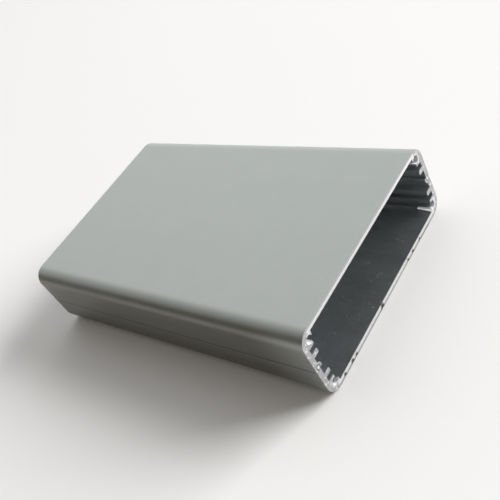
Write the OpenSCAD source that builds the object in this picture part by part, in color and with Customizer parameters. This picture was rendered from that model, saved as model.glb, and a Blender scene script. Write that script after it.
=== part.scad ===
// Split extruded enclosure: two lengths of one aluminium extrusion, joined along both sides by hooked bead rails.
// X runs along the extrusion, Y across it and Z up, with the origin at the middle of the underside.
// Side features are drawn in the plane of the section: u runs inwards from the outer side face, v runs up.

/* [Body] */
// Length of the cut extrusions
body_length = 125; // [60:1:250]
// Width over the side walls
body_width = 78; // [40:0.5:160]
// Height of the closed enclosure
body_height = 27; // [24:0.5:60]
// Outer radius of the long corners
corner_radius = 5; // [1:0.25:7]
// Thickness of the top and bottom plates
plate_thickness = 2; // [1.4:0.1:3]
// Thickness of the side walls
side_wall = 1.9; // [1.6:0.1:3]

/* [Screw channels] */
// Distance of a channel's axis from the outer faces beside it
channel_inset = 3.75; // [3.25:0.05:4.75]
// Diameter of the channel, the core of the end screw that taps into it
channel_bore = 2.7; // [2:0.1:3.2]
// Metal between the channel and the board slot
channel_wall = 1.15; // [0.7:0.05:2]
// Metal between the channel and the middle of the plate
channel_arm = 0.4; // [0.3:0.05:1]
// How far the arm on the plate stops short of the channel's axis
mouth_drop = 0.25; // [0:0.05:0.8]

/* [Board slots] */
// Width of the slot that takes a circuit board's edge
slot_width = 1.8; // [1.2:0.1:2.2]
// Depth of the slot from the wall's inner face
slot_depth = 2.5; // [2:0.1:3.5]
// Thickness of the rib on the slot's open side
rib_thickness = 1.8; // [1:0.1:2.2]
// Rounding at the tips of the ribs and channel arms
tip_radius = 0.4; // [0.1:0.05:0.45]

/* [Rails] */
// Running clearance between the two shells' rails
rail_gap = 0.2; // [0.1:0.05:0.25]
// Diameter of the bead along the tongue's edge
bead_diameter = 1.2; // [1.1:0.05:1.4]
// How far the bead stands proud of the wall's inner face
bead_proud = 0.1; // [0:0.05:0.2]
// Height of the bead's axis past the middle of the enclosure
bead_rise = 0.2; // [0:0.05:0.4]
// Thickness of the stem that carries the bead
stem_thickness = 0.7; // [0.6:0.05:0.8]
// How far the outer lip reaches past the middle of the enclosure
lip_reach = 0.9; // [0.7:0.05:1.3]
// How far the inner hook reaches past the middle of the enclosure
hook_reach = 0.45; // [0.4:0.05:1]
// Thickness of the hook around the socket
hook_thickness = 0.85; // [0.6:0.05:1.2]
// Bevel on the outer edges at the parting line
parting_bevel = 0.15; // [0.1:0.05:0.4]

/* [Hidden] */
$fn = 96;
silver_grey = [0.69, 0.71, 0.69];
middle_height = body_height / 2;
slot_floor = channel_inset + channel_bore / 2 + channel_wall;
rib_height = slot_floor + slot_width;
finger_reach = side_wall + slot_depth;
arm_reach = channel_inset + channel_bore / 2 + channel_arm;
arm_height = channel_inset - mouth_drop;
bead_radius = bead_diameter / 2;
bead_inset = side_wall + bead_proud - bead_radius;
bead_height = middle_height + bead_rise;
socket_radius = bead_radius + rail_gap;
socket_height = middle_height - bead_rise;
hook_radius = socket_radius + hook_thickness;
stem_inset = side_wall - stem_thickness;
throat_width = stem_thickness + 2 * rail_gap;
lip_height = middle_height + lip_reach;
shoulder_height = middle_height - lip_reach;

// Places a side feature at the near (-1) or the far (1) side wall
module at_side(side) {
  translate([side * body_width / 2, 0])
    mirror([side > 0 ? 1 : 0, 0])
      children();
}

// Closed enclosure's outer outline
module outline() {
  across = body_width - 2 * corner_radius;
  up = body_height - 2 * corner_radius;
  translate([-across / 2, 0])
    square([across, body_height]);
  translate([-body_width / 2, corner_radius])
    square([body_width, up]);
  for (y = [-across / 2, across / 2], z = [corner_radius, corner_radius + up])
    translate([y, z])
      circle(corner_radius);
}

// Bar with a rounded free end
module finger(reach, thickness) {
  square([reach - tip_radius, thickness]);
  translate([0, tip_radius])
    square([reach, thickness - 2 * tip_radius]);
  for (v = [tip_radius, thickness - tip_radius])
    translate([reach - tip_radius, v])
      circle(tip_radius);
}

// Plate with its two side walls: the near wall ends at the shoulder, the far wall at the end of the lip
module tray() {
  translate([-body_width / 2, 0])
    square([body_width, plate_thickness]);
  translate([-body_width / 2, 0])
    square([side_wall, shoulder_height]);
  translate([body_width / 2 - side_wall, 0])
    square([side_wall, lip_height]);
}

// Metal around a screw channel: an arm on the wall, and one on the plate
module channel_arms() {
  finger(finger_reach, slot_floor);
  translate([arm_reach, 0])
    rotate(90)
      finger(arm_height, arm_reach - channel_inset);
}

// Rib that closes the board slot
module board_rib() {
  translate([0, rib_height])
    finger(finger_reach, rib_thickness);
}

// Tongue with its bead, on the near wall
module bead_rail() {
  translate([stem_inset, plate_thickness])
    square([stem_thickness, bead_height - plate_thickness]);
  translate([bead_inset, bead_height])
    circle(bead_radius);
}

// Half-round body of the hook, inside the far wall
module hook_body() {
  intersection() {
    translate([bead_inset, socket_height])
      circle(hook_radius);
    translate([bead_inset, 0])
      square([hook_radius, middle_height + hook_reach]);
  }
}

// Space for the other shell's bead and stem
module socket() {
  translate([bead_inset, socket_height])
    circle(socket_radius);
  translate([stem_inset - rail_gap, socket_height])
    square([throat_width, body_height - socket_height]);
}

// Bevel along a wall's outer edge
module edge_bevel(height) {
  polygon([[0, height], [parting_bevel, height], [0, height - parting_bevel]]);
}

// Section of one shell, as it lies in the lower one
module shell_section() {
  difference() {
    intersection() {
      outline();
      union() {
        tray();
        for (side = [-1, 1])
          at_side(side) {
            channel_arms();
            board_rib();
          }
        at_side(-1) bead_rail();
        at_side(1) hook_body();
      }
    }
    for (side = [-1, 1])
      at_side(side)
        translate([channel_inset, channel_inset])
          circle(d = channel_bore);
    at_side(1) socket();
    at_side(1) edge_bevel(lip_height);
    at_side(-1) edge_bevel(shoulder_height);
  }
}

module shell() {
  color(silver_grey)
    translate([-body_length / 2, 0, 0])
      rotate([90, 0, 90])
        linear_extrude(body_length)
          shell_section();
}

module lower_shell() {
  shell();
}

// The same extrusion, turned half a turn about the length axis
module upper_shell() {
  translate([0, 0, body_height])
    rotate([180, 0, 0])
      shell();
}

lower_shell();
upper_shell();
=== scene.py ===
import math
from functools import reduce

import bmesh
import bpy
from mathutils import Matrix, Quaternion, Vector


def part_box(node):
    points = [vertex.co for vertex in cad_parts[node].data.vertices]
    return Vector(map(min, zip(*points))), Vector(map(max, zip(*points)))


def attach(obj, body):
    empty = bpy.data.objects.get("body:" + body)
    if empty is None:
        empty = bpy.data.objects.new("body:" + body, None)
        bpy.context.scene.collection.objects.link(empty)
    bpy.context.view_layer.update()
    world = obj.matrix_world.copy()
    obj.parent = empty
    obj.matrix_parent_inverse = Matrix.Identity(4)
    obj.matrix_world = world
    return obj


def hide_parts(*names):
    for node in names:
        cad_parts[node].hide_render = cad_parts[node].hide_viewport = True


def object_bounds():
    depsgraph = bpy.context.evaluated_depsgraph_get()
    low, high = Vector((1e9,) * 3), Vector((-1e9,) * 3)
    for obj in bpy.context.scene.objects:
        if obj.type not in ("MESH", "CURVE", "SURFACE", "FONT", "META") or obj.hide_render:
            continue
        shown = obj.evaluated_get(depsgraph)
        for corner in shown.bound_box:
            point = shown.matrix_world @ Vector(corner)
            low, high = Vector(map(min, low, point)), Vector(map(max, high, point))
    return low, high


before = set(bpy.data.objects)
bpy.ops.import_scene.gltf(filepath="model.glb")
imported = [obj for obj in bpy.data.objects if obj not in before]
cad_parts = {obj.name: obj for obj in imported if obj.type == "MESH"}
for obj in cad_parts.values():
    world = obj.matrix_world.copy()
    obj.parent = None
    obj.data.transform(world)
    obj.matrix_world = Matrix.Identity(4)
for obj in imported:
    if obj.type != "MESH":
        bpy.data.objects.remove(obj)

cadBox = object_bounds()
lowest, highest = cadBox
mm = 0.001
middleHeight = (lowest.z + highest.z) / 2  # where the two shells meet
channelInset = 3.75 * mm  # of a corner channel's axis from the outer faces beside it
channelAcross = highest.y - channelInset
channelOff = highest.z - channelInset - middleHeight  # of its axis from the middle height
noiseMiddle = 0.5  # the value that a noise varies about
tiny = 1e-6
print("frame loaded:", ", ".join(sorted(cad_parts)))


class Wire:  # one socket of a node tree; an operator adds the node that it needs
    def __init__(self, tree, socket=None):
        self.tree, self.socket = tree, socket

    def plug(self, socket, value):  # a link from another wire, or a plain value
        if isinstance(value, Wire):
            self.tree.links.new(value.socket, socket)
        else:
            socket.default_value = value

    def node(self, kind, settings={}, sockets={}, out=0):  # any node: settings first, then its sockets
        made = self.tree.nodes.new(kind)
        for name, value in settings.items():
            setattr(made, name, value)
        for name, value in sockets.items():
            self.plug(made.inputs[name], value)
        return Wire(self.tree, made.outputs[out])

    def out(self, name):  # another output of the same node
        return Wire(self.tree, self.socket.node.outputs[name])

    def maths(self, operation, *values):
        return self.node("ShaderNodeMath", {"operation": operation}, dict(enumerate((self, *values))))

    def turned(self, operation, first):  # the same with this wire second
        return self.node("ShaderNodeMath", {"operation": operation}, {0: first, 1: self})

    def __add__(self, other):
        return self.maths("ADD", other)

    def __sub__(self, other):
        return self.maths("SUBTRACT", other)

    def __mul__(self, other):
        return self.maths("MULTIPLY", other)

    def __truediv__(self, other):
        return self.maths("DIVIDE", other)

    def __pow__(self, other):
        return self.maths("POWER", other)

    def __gt__(self, other):
        return self.maths("GREATER_THAN", other)

    def __lt__(self, other):
        return self.maths("LESS_THAN", other)

    def __abs__(self):
        return self.maths("ABSOLUTE")

    def __radd__(self, other):
        return self.turned("ADD", other)

    def __rsub__(self, other):
        return self.turned("SUBTRACT", other)

    def __rmul__(self, other):
        return self.turned("MULTIPLY", other)

    def __rtruediv__(self, other):
        return self.turned("DIVIDE", other)

    def larger(self, other):
        return self.maths("MAXIMUM", other)

    def ease(self, low, high):  # smooth step from 0 at low to 1 at high
        return self.node("ShaderNodeMapRange", {"interpolation_type": "SMOOTHSTEP"},
                         {"Value": self, "From Min": low, "From Max": high})

    def fade(self, low, high):  # smooth step from 1 at low to 0 at high
        return 1 - self.ease(low, high)

    def vector(self, operation, *values):
        return self.node("ShaderNodeVectorMath", {"operation": operation}, dict(enumerate((self, *values))))

    def scaled(self, factor):  # a vector times a value
        return self.node("ShaderNodeVectorMath", {"operation": "SCALE"}, {0: self, "Scale": factor})

    def parts(self):  # the three numbers of a vector
        first = self.node("ShaderNodeSeparateXYZ", {}, {0: self})
        return first, first.out("Y"), first.out("Z")

    def colour(self, low, high):  # low where this wire is 0, high where it is 1
        return self.node("ShaderNodeMix", {"data_type": "RGBA"}, {0: self, 6: low, 7: high}, out=2)

    def noise(self, size=1.0, detail=2.0, rough=0.55, perMetre=None):  # one size, or a count along each axis
        place = self
        if perMetre:
            place = self.node("ShaderNodeMapping", {}, {"Vector": self, "Scale": perMetre})
        return self.node("ShaderNodeTexNoise", {}, {
            "Vector": place, "Scale": 1 / size, "Detail": detail, "Roughness": rough})

    def bump(self, height, **more):  # the normal of a surface with this height in metres
        return self.node("ShaderNodeBump", {}, {"Height": height, "Distance": 1.0, **more})


def grey(value, tint=(1, 1, 1)):
    return (*(value * share for share in tint), 1)


def ring(wide, high):  # distance from an axis along X
    return (wide * wide + high * high) ** 0.5


def signOf(value):  # 1 where it is positive, else -1
    return (value > 0) * 2 - 1


def blend(layers, shares):  # sum of the named layers, each times its share
    return sum(share * layers[name] for name, share in shares.items())


def newMaterial(name):  # with its shader, a first wire and the object's coordinates
    material = bpy.data.materials.new(name)
    material.use_nodes = True
    shader = material.node_tree.nodes["Principled BSDF"]
    wire = Wire(material.node_tree)
    return material, shader, wire, wire.node("ShaderNodeTexCoord", out="Object")


# Bead-blasted and anodised outside of the extrusions, with painted shade on the side walls: a darker, browner
# tone for the shadowed floor they mirror, over real draw streaks
outside = {
    "tint": (0.935, 1.0, 0.945), "low": 0.438, "high": 0.477,  # darkest and lightest tone
    "grain": {"size": 0.34 * mm, "detail": 3.0, "rough": 0.65},
    "mottle": {"size": 9 * mm, "detail": 3.0},
    "cloud": {"size": 45 * mm},
    "lines": {"perMetre": (6, 900, 900), "detail": 4.0, "rough": 0.6},  # faint draw lines along the length
    "shares": {"grain": 0.5, "mottle": 0.22, "cloud": 0.14, "lines": 0.14}, "contrast": (0.3, 0.7),
    "metallic": 0.78, "rough": 0.34, "roughSpread": 0.07, "mottleRough": 0.4, "sideRough": 0.04,
    "grainDepth": 0.022 * mm, "lineDepth": 0.004 * mm, "streakLift": 0.4,
    "sideFrom": highest.y - 2.2 * mm, "sideTo": highest.y - 0.4 * mm,  # where a side wall begins
    # painted shade on the side walls: a darker, browner tone standing for the shadowed floor they mirror
    "paintedShadeTone": (0.33, 0.283, 0.254), "paintedShadeShare": 0.72,
    "streaks": {"perMetre": (9, 420, 1500), "detail": 5.0, "rough": 0.7},
    "streakContrast": (0.25, 0.65), "streakShare": 0.16,
    # the painted shade is heavier towards the underside and paler by the open end
    "lowFrom": 5 * mm, "lowTo": 11 * mm, "lowShadeShare": 0.12,  # heights; deepest by the underside
    "frontFrom": highest.x - 22.5 * mm, "frontTo": highest.x + 1.5 * mm, "frontShare": 0.6,  # paler there
    "seamOff": 0.9 * mm, "seamHalf": 0.15 * mm, "seamShadeTone": 0.55, "seamFade": 60 * mm,  # parting groove
}


def makeOutside():
    material, shader, wire, place = newMaterial("blastedAnodised")
    x, y, z = place.parts()
    layers = {name: place.noise(**outside[name]) for name in outside["shares"]}
    grain, mottle = layers["grain"], layers["mottle"]
    tone = blend(layers, outside["shares"]).ease(*outside["contrast"])
    metal = tone.colour(grey(outside["low"], outside["tint"]), grey(outside["high"], outside["tint"]))

    side = abs(y).ease(outside["sideFrom"], outside["sideTo"])
    drawn = place.noise(**outside["streaks"]).ease(*outside["streakContrast"])
    low = z.fade(outside["lowFrom"], outside["lowTo"])
    front = x.ease(outside["frontFrom"], outside["frontTo"])
    # painted shade on the side walls, heavier low down and paler by the open end, mixed with real draw
    # streaks
    sideShading = outside["paintedShadeShare"] + outside["lowShadeShare"] * low + outside["streakShare"] * drawn
    sideShading = sideShading * (1 - outside["frontShare"] * front) * side
    shadedMetal = sideShading.colour(metal, metal.vector("MULTIPLY", outside["paintedShadeTone"]))

    # painted shadow in the parting groove, strongest by the open end
    seamHeight = middleHeight + signOf(y) * outside["seamOff"]  # above the middle on the far side, else below
    groove = abs(z - seamHeight) < outside["seamHalf"]
    opened = x.ease(-outside["seamFade"], outside["seamFade"])  # plainest at the front end
    grooveShade = outside["seamShadeTone"] * opened * groove * side
    wire.plug(shader.inputs["Base Color"], grooveShade.colour(shadedMetal, grey(0)))
    uneven = grain - noiseMiddle + outside["mottleRough"] * (mottle - noiseMiddle)
    wire.plug(shader.inputs["Roughness"],
              outside["rough"] + outside["sideRough"] * side + outside["roughSpread"] * uneven)
    lines = layers["lines"] + outside["streakLift"] * sideShading
    height = grain * outside["grainDepth"] + lines * outside["lineDepth"]
    wire.plug(shader.inputs["Normal"], wire.bump(height))
    shader.inputs["Metallic"].default_value = outside["metallic"]
    return material


# Inside of the extrusions: the same anodising over plain die lines, with a little dust and painted highlights
# at the channel mouths
inside = {
    "tint": (0.925, 0.972, 1.0), "low": 0.62, "high": 0.81,
    "lines": {"perMetre": (5, 1400, 1400), "detail": 5.0, "rough": 0.65},
    "broad": {"perMetre": (3, 160, 160)},
    "mottle": {"size": 1.3 * mm, "detail": 3.0, "rough": 0.6},
    "fine": {"size": 0.3 * mm},
    "blotch": {"size": 5 * mm, "detail": 3.0, "rough": 0.6},
    "shares": {"lines": 0.2, "broad": 0.18, "mottle": 0.2, "fine": 0.12, "blotch": 0.3},
    "contrast": (0.34, 0.66),
    "metallic": 0.94, "rough": 0.35, "roughSpread": 0.12, "roughShares": {"lines": 0.6, "mottle": 0.4},
    "lineDepth": 0.006 * mm, "mottleDepth": 0.01 * mm,
    "speck": 1.1 * mm, "speckReach": 0.2, "speckShare": 0.11,  # dust: cell, reach in cells, share of cells
    "speckTone": 0.38, "speckRough": 0.3,
}
paintedHighlight = {  # painted highlights by the front ends of the channels: near-white matte patches standing for light
    "tone": (0.93, 0.96, 1.0, 1), "metallic": 0.05, "ragged": 1.2 * mm,
    "armAcross": highest.y - 5.3 * mm, "armHalf": 0.5 * mm,  # a painted highlight, a bright sliver, on the far lower channel's arm
    "armLow": 1.9 * mm, "armRise": 0.75 * mm, "armHigh": 3.9 * mm, "armLength": 4.9 * mm, "armSoft": 0.3 * mm,
    "peelFront": 1.2, "peelUp": 0.45,  # it leans forward and up
    "highlightReach": 1.6 * mm, "highlightSolid": 0.5,  # round a channel's axis; share of the length in full tone
    # for each channel's side and half: where the painted highlight starts below the axis, and its length
    "highlightSpots": {(-1, -1): (0.6 * mm, 2.0 * mm), (1, -1): (0.6 * mm, 2.0 * mm),
               (-1, 1): (0.2 * mm, 4.0 * mm), (1, 1): (0.1 * mm, 3.2 * mm)},
}


def makeInside():
    material, shader, wire, place = newMaterial("extrudedInside")
    x, y, z = place.parts()
    layers = {name: place.noise(**inside[name]) for name in inside["shares"]}
    lines, mottle = layers["lines"], layers["mottle"]
    tone = blend(layers, inside["shares"]).ease(*inside["contrast"])
    metal = tone.colour(grey(inside["low"], inside["tint"]), grey(inside["high"], inside["tint"]))
    cells = wire.node("ShaderNodeTexVoronoi", {"feature": "F1"}, {
        "Vector": place, "Scale": 1 / inside["speck"]})
    picked = wire.node("ShaderNodeSeparateColor", {}, {"Color": cells.out("Color")})
    speck = (cells < inside["speckReach"]) * (picked < inside["speckShare"])

    deep = highest.x - x + (mottle - noiseMiddle) * paintedHighlight["ragged"]  # from the front end
    armFloor = paintedHighlight["armLow"] + deep * (paintedHighlight["armRise"] / paintedHighlight["armLength"])
    arm = (z - armFloor).ease(0, paintedHighlight["armSoft"]) * (z < paintedHighlight["armHigh"])
    arm = arm * (abs(y - paintedHighlight["armAcross"]) < paintedHighlight["armHalf"]) * (deep < paintedHighlight["armLength"])
    dustAndHighlights = speck  # dust, and the painted highlights in the channels, where the metal doesn't gleam
    for (side, half), (below, length) in paintedHighlight["highlightSpots"].items():
        wide, high = y - side * channelAcross, z - (middleHeight + half * channelOff)
        highlight = (ring(wide, high) < paintedHighlight["highlightReach"]) * (high < -below)
        dustAndHighlights = dustAndHighlights.larger(highlight * deep.fade(paintedHighlight["highlightSolid"] * length, length))
    # painted highlights: the arm's sliver and the bright patches in the bores
    highlighted = arm.larger(dustAndHighlights - speck)

    dusty = speck.colour(metal, grey(inside["speckTone"]))
    wire.plug(shader.inputs["Base Color"], highlighted.colour(dusty, paintedHighlight["tone"]))
    wire.plug(shader.inputs["Metallic"],
              inside["metallic"] + (paintedHighlight["metallic"] - inside["metallic"]) * dustAndHighlights)
    uneven = blend(layers, inside["roughShares"]) - noiseMiddle
    wire.plug(shader.inputs["Roughness"],
              inside["rough"] + inside["roughSpread"] * uneven + inside["speckRough"] * speck)
    plain = wire.bump(lines * inside["lineDepth"] + mottle * inside["mottleDepth"])
    peeled = wire.bump(x * -paintedHighlight["peelFront"] - z * paintedHighlight["peelUp"], Normal=plain)
    facing = wire.node("ShaderNodeMix", {"data_type": "VECTOR"}, {0: arm, 4: plain, 5: peeled}, out=1)
    wire.plug(shader.inputs["Normal"], facing.vector("NORMALIZE"))
    return material


# Bare metal of the sawn ends: grey face with saw lines, and painted highlights for the light its facets
# catch: a bright band on the plates' inner half, sparkle, and glints at the beads and round the channels
sawn = {
    "grey": (0.47, 0.47, 0.495, 1), "bright": (0.98, 0.985, 0.99, 1),
    "fine": {"size": 0.12 * mm, "detail": 3.0},
    "patch": {"size": 1.4 * mm, "detail": 3.0, "rough": 0.6},
    "metallic": 1.0, "rough": 0.34, "roughSpread": 0.2,
    "bladeDrop": 140 * mm,  # the blade's centre below the underside
    "lineSpacing": 0.26 * mm, "lineDepth": 0.02 * mm, "lineWander": 5, "lineFloor": 0.4, "lineLight": 0.35,
    "plateFrom": 10.6 * mm, "plateTo": 11.2 * mm, "bandEdge": 12.62 * mm,  # heights from the middle
    "bandSoft": 0.14 * mm, "bandWander": 0.35 * mm, "bandReach": highest.y - 3.6 * mm, "bandFade": 1 * mm,
    "sparkContrast": (0.54, 0.64), "sparkLight": 0.8,
    "beadAcross": highest.y - 1.4 * mm, "beadOff": 0.2 * mm,  # each bead's axis lies a little past the middle
    "beadReach": 0.62 * mm, "beadSolid": 0.8,
    "glintReach": 2.3 * mm, "glintSolid": 0.75, "glintContrast": (0.45, 0.56),  # round the four channels
    # painted shade in the nicks
    "nickShade": (0.09, 0.09, 0.09, 1), "nickShadeTall": 2.0, "nickShadeSolid": 0.5, "nickShadeWander": 1.6 * mm,
    "nickShadeRough": 0.2,
}
nicks = {22.6: 0.8, 17.2: 0.9, 13.3: 0.8, -5.7: 1.3, -23.7: 0.9, -26.3: 1.1, -31.1: 0.9}  # mm across: reach


def makeSawn():
    material, shader, wire, place = newMaterial("sawnEnd")
    x, y, z = place.parts()
    fine, patch = place.noise(**sawn["fine"]), place.noise(**sawn["patch"])
    wander = patch - noiseMiddle
    sweep = ring(y, z + sawn["bladeDrop"])  # distance from the blade's centre
    turns = sweep * (math.tau / sawn["lineSpacing"]) + sawn["lineWander"] * patch
    lines = (turns.maths("SINE") * 0.5 + 0.5) * (sawn["lineFloor"] + (1 - sawn["lineFloor"]) * fine)

    offMiddle = abs(z - middleHeight)
    ragged = offMiddle + wander * sawn["bandWander"]
    offCorners = abs(y).fade(sawn["bandReach"] - sawn["bandFade"], sawn["bandReach"])
    onPlate = ragged.ease(sawn["plateFrom"], sawn["plateTo"]) * offCorners
    band = ragged.fade(sawn["bandEdge"] - sawn["bandSoft"], sawn["bandEdge"] + sawn["bandSoft"]) * onPlate
    spark = patch.ease(*sawn["sparkContrast"]) * (1 - onPlate)
    beadHeight = middleHeight - signOf(y) * sawn["beadOff"]
    bead = ring(abs(y) - sawn["beadAcross"], z - beadHeight).fade(
        sawn["beadSolid"] * sawn["beadReach"], sawn["beadReach"])
    channelGlint = ring(abs(y) - channelAcross, offMiddle - channelOff).fade(
        sawn["glintSolid"] * sawn["glintReach"], sawn["glintReach"]) * patch.ease(*sawn["glintContrast"])
    # painted highlights: the bright band, sparkle, partly lighter saw lines, and glints at the beads and
    # channels
    lights = (band, sawn["sparkLight"] * spark, sawn["lineLight"] * lines, bead, channelGlint)
    metal = reduce(Wire.larger, lights).colour(sawn["grey"], sawn["bright"])

    # painted shade in the nicks at the front edge of the underside
    marks = []
    for across, reach in nicks.items():
        off = ring(y - across * mm, z / sawn["nickShadeTall"]) + wander * sawn["nickShadeWander"]
        marks.append(off.fade(sawn["nickShadeSolid"] * reach * mm, reach * mm))
    nickShaded = reduce(Wire.larger, marks) * (x > 0)  # at the front end only
    wire.plug(shader.inputs["Base Color"], nickShaded.colour(metal, sawn["nickShade"]))
    wire.plug(shader.inputs["Roughness"],
              sawn["rough"] + sawn["roughSpread"] * (fine - noiseMiddle) + sawn["nickShadeRough"] * nickShaded)
    wire.plug(shader.inputs["Normal"], wire.bump(lines * sawn["lineDepth"]))
    shader.inputs["Metallic"].default_value = sawn["metallic"]
    return material


finishes = {"Outside": makeOutside(), "Inside": makeInside(), "Sawn": makeSawn()}
print("finishes made:", ", ".join(m.name for m in finishes.values()))


# The two shells: each is its section swept along X, with broken edges at the sawn ends
shell = {
    "step": 0.6 * mm,  # longest stretch between two points of the section
    "edgeStep": 0.25 * mm,  # the same along the underside, where the nicks are
    "corner": 5 * mm,  # outer radius of the long corners
    "skin": 0.4 * mm,  # deeper than this below the outline counts as inside
    "rings": 9, "ringSpan": 8 * mm, "ringPower": 2.6,  # rings at each end, bunched towards the cut
    "edgeBreak": 0.1 * mm, "edgeSpread": 0.5, "edgeRoom": 0.16 * mm, "passes": 30, "miterFloor": 0.5,
    "unevenPerMetre": 700.0, "unevenDetail": 3.0,
    "nickReach": 0.9 * mm, "nickPower": 0.7, "nickFloor": 0.6, "nickSpread": 0.8, "nickBack": 0.8,
    "cuts": {"lower_shell": {"Seed": 3.0, "NickDepth": 0.14 * mm},
             "upper_shell": {"Seed": 8.0, "NickDepth": 0.0}},
    "sharp": 30,  # degrees
}


def endSection(nodeName):  # the solid's rim at the +X end, counter-clockwise, as (y, z)
    rim = bmesh.new()
    rim.from_mesh(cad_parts[nodeName].data)
    bmesh.ops.remove_doubles(rim, verts=rim.verts, dist=tiny)
    endX = max(v.co.x for v in rim.verts)
    onEnd = {v for v in rim.verts if v.co.x > endX - tiny}
    around = {}
    for edge in rim.edges:
        caps = [f for f in edge.link_faces if all(v in onEnd for v in f.verts)]
        if all(v in onEnd for v in edge.verts) and len(caps) == 1:
            for v in edge.verts:
                around.setdefault(v, []).append(edge.other_vert(v))
    first = next(iter(around))
    loop, last = [first], None
    while True:
        ahead = [v for v in around[loop[-1]] if v is not last][0]
        if ahead is first:
            break
        last = loop[-1]
        loop.append(ahead)
    points = [(v.co.y, v.co.z) for v in loop]
    rim.free()
    area = sum(a[0] * b[1] - b[0] * a[1] for a, b in zip(points, points[1:] + points[:1]))
    return points if area > 0 else points[::-1]


def refined(points):  # more points on the long stretches
    found = []
    for a, b in zip(points, points[1:] + points[:1]):
        step = shell["edgeStep"] if max(a[1], b[1]) < lowest.z + tiny else shell["step"]
        count = max(1, math.ceil(math.dist(a, b) / step))
        found += [(a[0] + (b[0] - a[0]) * i / count, a[1] + (b[1] - a[1]) * i / count) for i in range(count)]
    return found


def inwardMiters(points):  # at each point, the way inwards that keeps both stretches parallel
    count = len(points)
    miters = []
    for i, here in enumerate(points):
        before, after = here - points[i - 1], points[(i + 1) % count] - here
        first, second = (Vector((-way.y, way.x)).normalized() for way in (before, after))
        miters.append((first + second) / max(shell["miterFloor"], 1 + first.dot(second)))
    for again in range(shell["passes"]):  # stretches too short for the edge break don't turn over
        for i in range(count):
            step = points[i] - points[i - 1]
            if step.dot(step + (miters[i] - miters[i - 1]) * shell["edgeRoom"]) <= 0:
                miters[i] = miters[i - 1] = (miters[i] + miters[i - 1]) / 2
    return miters


def rimObject(nodeName):  # the section as a loop of edges, with its inward directions
    points = [Vector(p) for p in refined(endSection(nodeName))]
    count = len(points)
    mesh = bpy.data.meshes.new(nodeName + "Rim")
    mesh.from_pydata([(-p.x, -p.y, 0) for p in points], [(i, (i + 1) % count) for i in range(count)], [])
    for name, kind in (("inward", "FLOAT_VECTOR"), ("inner", "FLOAT")):
        mesh.attributes.new(name, kind, "POINT")
    inward, inner = mesh.attributes["inward"], mesh.attributes["inner"]
    middle, half = (lowest + highest) / 2, (highest - lowest) / 2
    for i, (here, miter) in enumerate(zip(points, inwardMiters(points))):
        inward.data[i].vector = (0, *miter)
        over = [max(0, abs(v - m) - h + shell["corner"]) for v, m, h in zip(here, middle.yz, half.yz)]
        inner.data[i].value = float(shell["corner"] - math.hypot(*over) > shell["skin"])
    rim = bpy.data.objects.new(nodeName + "Rim", mesh)
    bpy.context.scene.collection.objects.link(rim)
    return rim


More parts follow.
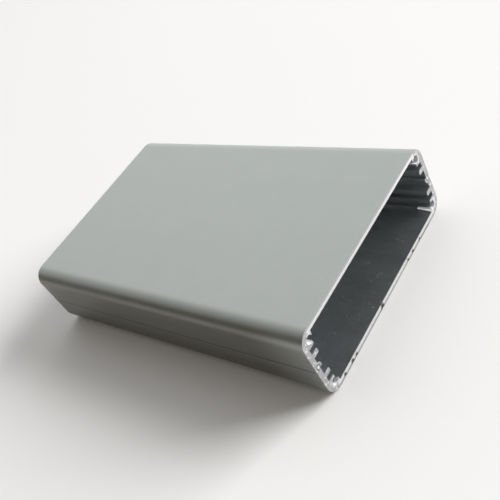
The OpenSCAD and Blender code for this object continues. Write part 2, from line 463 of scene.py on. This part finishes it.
def sweepTree():
    tree = bpy.data.node_groups.new("cutExtrusion", "GeometryNodeTree")
    sockets = {"Geometry": "Geometry", "Length": "Float", "RingSpan": "Float", "EdgeBreak": "Float",
               "EdgeSpread": "Float", "NickDepth": "Float", "Seed": "Float",
               "Nicks": "Object", "Outside": "Material", "Inside": "Material", "Sawn": "Material"}
    for name, kind in sockets.items():
        tree.interface.new_socket(name, in_out="INPUT", socket_type="NodeSocket" + kind)
    tree.interface.new_socket("Geometry", in_out="OUTPUT", socket_type="NodeSocketGeometry")
    wire = Wire(tree)
    given = wire.node("NodeGroupInput", out="Geometry")
    size = {name: given.out(name) for name in sockets}

    # path along X with rings bunched at both ends
    last = 2 * shell["rings"] - 1
    line = wire.node("GeometryNodeMeshLine", {"mode": "OFFSET"}, {"Count": last + 1, "Offset": (mm, 0, 0)})
    index = wire.node("GeometryNodeInputIndex")
    fromEnd = index.maths("MINIMUM", last - index)
    depth = size["RingSpan"] * (fromEnd / (shell["rings"] - 1)) ** shell["ringPower"]
    along = signOf(index - last / 2) * (size["Length"] / 2 - depth)
    line = wire.node("GeometryNodeStoreNamedAttribute", {"data_type": "FLOAT", "domain": "POINT"},
                     {"Geometry": line, "Name": "depth", "Value": depth})
    line = wire.node("GeometryNodeSetPosition", {}, {
        "Geometry": line, "Position": wire.node("ShaderNodeCombineXYZ", {}, {"X": along})})
    path = wire.node("GeometryNodeMeshToCurve", {}, {0: line})
    path = wire.node("GeometryNodeSetCurveNormal", {"mode": "Z_UP"}, {"Curve": path})
    profile = wire.node("GeometryNodeMeshToCurve", {}, {0: given})
    body = wire.node("GeometryNodeCurveToMesh", {}, {
        "Curve": path, "Profile Curve": profile, "Fill Caps": True})

    def named(name, kind):
        return wire.node("GeometryNodeInputNamedAttribute", {"data_type": kind}, {"Name": name})

    depthAt, inward = named("depth", "FLOAT"), named("inward", "FLOAT_VECTOR")
    place = wire.node("GeometryNodeInputPosition")

    # broken edges, a little uneven along the rim
    uneven = wire.node("ShaderNodeTexNoise", {"noise_dimensions": "4D"}, {
        "Vector": place, "W": size["Seed"],
        "Scale": shell["unevenPerMetre"], "Detail": shell["unevenDetail"]})
    edge = size["EdgeBreak"] * (1 + size["EdgeSpread"] * (uneven - noiseMiddle) * 2)
    left = (edge - depthAt).larger(0.0)
    roundIn = edge - (edge * edge - left * left).larger(0.0) ** 0.5
    body = wire.node("GeometryNodeSetPosition", {}, {"Geometry": body, "Offset": inward.scaled(roundIn)})

    # nicks in the front edge of the underside
    nickPoints = wire.node("GeometryNodeObjectInfo", {}, {"Object": size["Nicks"]}, out="Geometry")
    near = wire.node("GeometryNodeProximity", {"target_element": "POINTS"}, {0: nickPoints}, out="Distance")
    dent = (1 - near / shell["nickReach"]).larger(0.0) ** shell["nickPower"]
    dent = dent * (shell["nickFloor"] + shell["nickSpread"] * uneven)
    away = inward.vector("ADD", (-shell["nickBack"], 0, 0)).scaled(dent * size["NickDepth"])
    body = wire.node("GeometryNodeSetPosition", {}, {"Geometry": body, "Offset": away})

    body = wire.node("GeometryNodeRealizeInstances", {}, {0: body})
    faceX = abs(wire.node("GeometryNodeInputNormal").parts()[0])
    where = {"Outside": True, "Inside": named("inner", "FLOAT") > 0.5, "Sawn": faceX > 0.5}
    for name, chosen in where.items():
        body = wire.node("GeometryNodeSetMaterial", {}, {
            "Geometry": body, "Selection": chosen, "Material": size[name]})
    wire.plug(tree.nodes.new("NodeGroupOutput").inputs[0], body)
    return tree


def plainMesh(maker, name):  # the evaluated result as a mesh of its own, the maker removed
    evaluated = maker.evaluated_get(bpy.context.evaluated_depsgraph_get())
    mesh = bpy.data.meshes.new_from_object(evaluated)
    mesh.name = name
    maker.modifiers.clear()
    bpy.data.objects.remove(maker)
    for kept in [a.name for a in mesh.attributes if a.name in ("inward", "inner", "depth")]:
        mesh.attributes.remove(mesh.attributes[kept])
    mesh.shade_smooth()
    mesh.set_sharp_from_angle(angle=math.radians(shell["sharp"]))
    piece = bpy.data.objects.new(name, mesh)
    bpy.context.scene.collection.objects.link(piece)
    return piece


def nickObject():  # a point for each nick, for the sweep to measure from
    mesh = bpy.data.meshes.new("nickPoints")
    mesh.from_pydata([(highest.x, across * mm, lowest.z) for across in nicks], [], [])
    points = bpy.data.objects.new("nickPoints", mesh)
    bpy.context.scene.collection.objects.link(points)
    return points


def makeShells():
    tree, nickPoints = sweepTree(), nickObject()
    identifiers = {s.name: s.identifier for s in tree.interface.items_tree if s.in_out == "INPUT"}
    for nodeName, cut in shell["cuts"].items():
        low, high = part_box(nodeName)
        maker = rimObject(nodeName)
        modifier = maker.modifiers.new("sweep", "NODES")
        modifier.node_group = tree
        values = {"Length": high.x - low.x, "RingSpan": shell["ringSpan"], "EdgeBreak": shell["edgeBreak"],
                  "EdgeSpread": shell["edgeSpread"], "Nicks": nickPoints, **cut, **finishes}
        for name, value in values.items():
            modifier[identifiers[name]] = value
        piece = plainMesh(maker, nodeName.replace("_s", "S"))
        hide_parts(nodeName)
        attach(piece, nodeName)
        print("made", piece.name, len(piece.data.polygons), "faces", [m.name for m in piece.data.materials])
    bpy.data.objects.remove(nickPoints)


makeShells()


# Studio: pale floor, a key from behind that the metal doesn't mirror, and a soft sky
ground = {
    "size": 10.0, "drop": 0.1 * mm, "tone": (0.92, 0.918, 0.912), "dark": 0.985,
    "grain": {"size": 2 * mm, "detail": 3.0}, "rough": 0.9, "specular": 0.1,
}
keyLamp = {"toward": (0.62, 0.68, 0.36), "away": 6.0, "size": 3.55, "radiance": 15.5}
sky = {  # bright at the back left, dim on the near side, with a low fill before the open end
    "toward": (-0.62, 0.87, 0.35), "low": -0.05, "high": 1.33,
    "dim": (0.105, 0.088, 0.064, 1), "bright": (1.26, 1.27, 1.29, 1),
    "fillToward": (0.99, -0.1, 0), "fillLow": 0.0, "fillHigh": 0.85, "fillTop": 0.7, "fill": grey(0.4),
}


def makeFloor():
    half = ground["size"] / 2
    corners = [(x * half, y * half, -ground["drop"]) for x, y in ((-1, -1), (1, -1), (1, 1), (-1, 1))]
    mesh = bpy.data.meshes.new("floor")
    mesh.from_pydata(corners, [], [(0, 1, 2, 3)])
    floor = bpy.data.objects.new("floor", mesh)
    bpy.context.scene.collection.objects.link(floor)
    material, shader, wire, place = newMaterial("paleFloor")
    wire.plug(shader.inputs["Base Color"], place.noise(**ground["grain"]).colour(
        grey(ground["dark"], ground["tone"]), grey(1, ground["tone"])))
    shader.inputs["Roughness"].default_value = ground["rough"]
    shader.inputs["Specular IOR Level"].default_value = ground["specular"]
    mesh.materials.append(material)


def makeKey():
    data = bpy.data.lights.new("key", "AREA")
    data.shape, data.size = "SQUARE", keyLamp["size"]
    data.energy = keyLamp["radiance"] * math.pi * keyLamp["size"] ** 2
    box = bpy.data.objects.new("key", data)
    toward = Vector(keyLamp["toward"]).normalized()
    box.location = (lowest + highest) / 2 + toward * keyLamp["away"]
    box.rotation_euler = toward.to_track_quat("Z", "Y").to_euler()
    box.visible_glossy = False  # lights the floor; the metal mirrors the sky and floor alone
    bpy.context.scene.collection.objects.link(box)


def makeSky():
    world = bpy.data.worlds.new("studioSky")
    bpy.context.scene.world = world
    world.use_nodes = True
    wire = Wire(world.node_tree)
    looked = wire.node("ShaderNodeTexCoord", out="Object")  # in a world this is the direction looked in

    def along(way):  # how far a direction points this way
        return wire.node("ShaderNodeVectorMath", {"operation": "DOT_PRODUCT"}, {0: looked, 1: way}, out=1)

    share = wire.node("ShaderNodeMapRange", {}, {
        "Value": along(sky["toward"]), "From Min": sky["low"], "From Max": sky["high"]})
    fill = along(Vector(sky["fillToward"]).normalized()).ease(sky["fillLow"], sky["fillHigh"])
    fill = fill * along((0, 0, 1)).fade(0, sky["fillTop"])
    glow = share.colour(sky["dim"], sky["bright"]).vector("ADD", fill.colour(grey(0), sky["fill"]))
    wire.plug(world.node_tree.nodes["Background"].inputs["Color"], glow)


makeFloor()
makeKey()
makeSky()
print("studio set: floor, key and sky")


# Camera at the photograph's viewing angle
camera = {
    "place": (167.64 * mm, -108.94 * mm, 157.49 * mm), "aim": (13.35 * mm, -1.76 * mm, 13.5 * mm),
    "roll": -32.46, "lens": 50.0, "sensor": 36.0, "clip": (0.01, 30.0),
}


def makeCamera():
    data = bpy.data.cameras.new("camera")
    data.lens, data.sensor_width = camera["lens"], camera["sensor"]
    data.clip_start, data.clip_end = camera["clip"]
    eye = bpy.data.objects.new("camera", data)
    ahead = Vector(camera["aim"]) - Vector(camera["place"])
    roll = Quaternion((0, 0, 1), math.radians(camera["roll"]))
    eye.location = camera["place"]
    eye.rotation_mode = "QUATERNION"
    eye.rotation_quaternion = ahead.to_track_quat("-Z", "Y") @ roll
    bpy.context.scene.collection.objects.link(eye)
    bpy.context.scene.camera = eye


makeCamera()
bpy.context.scene.view_settings.view_transform = "Standard"
print("camera set")
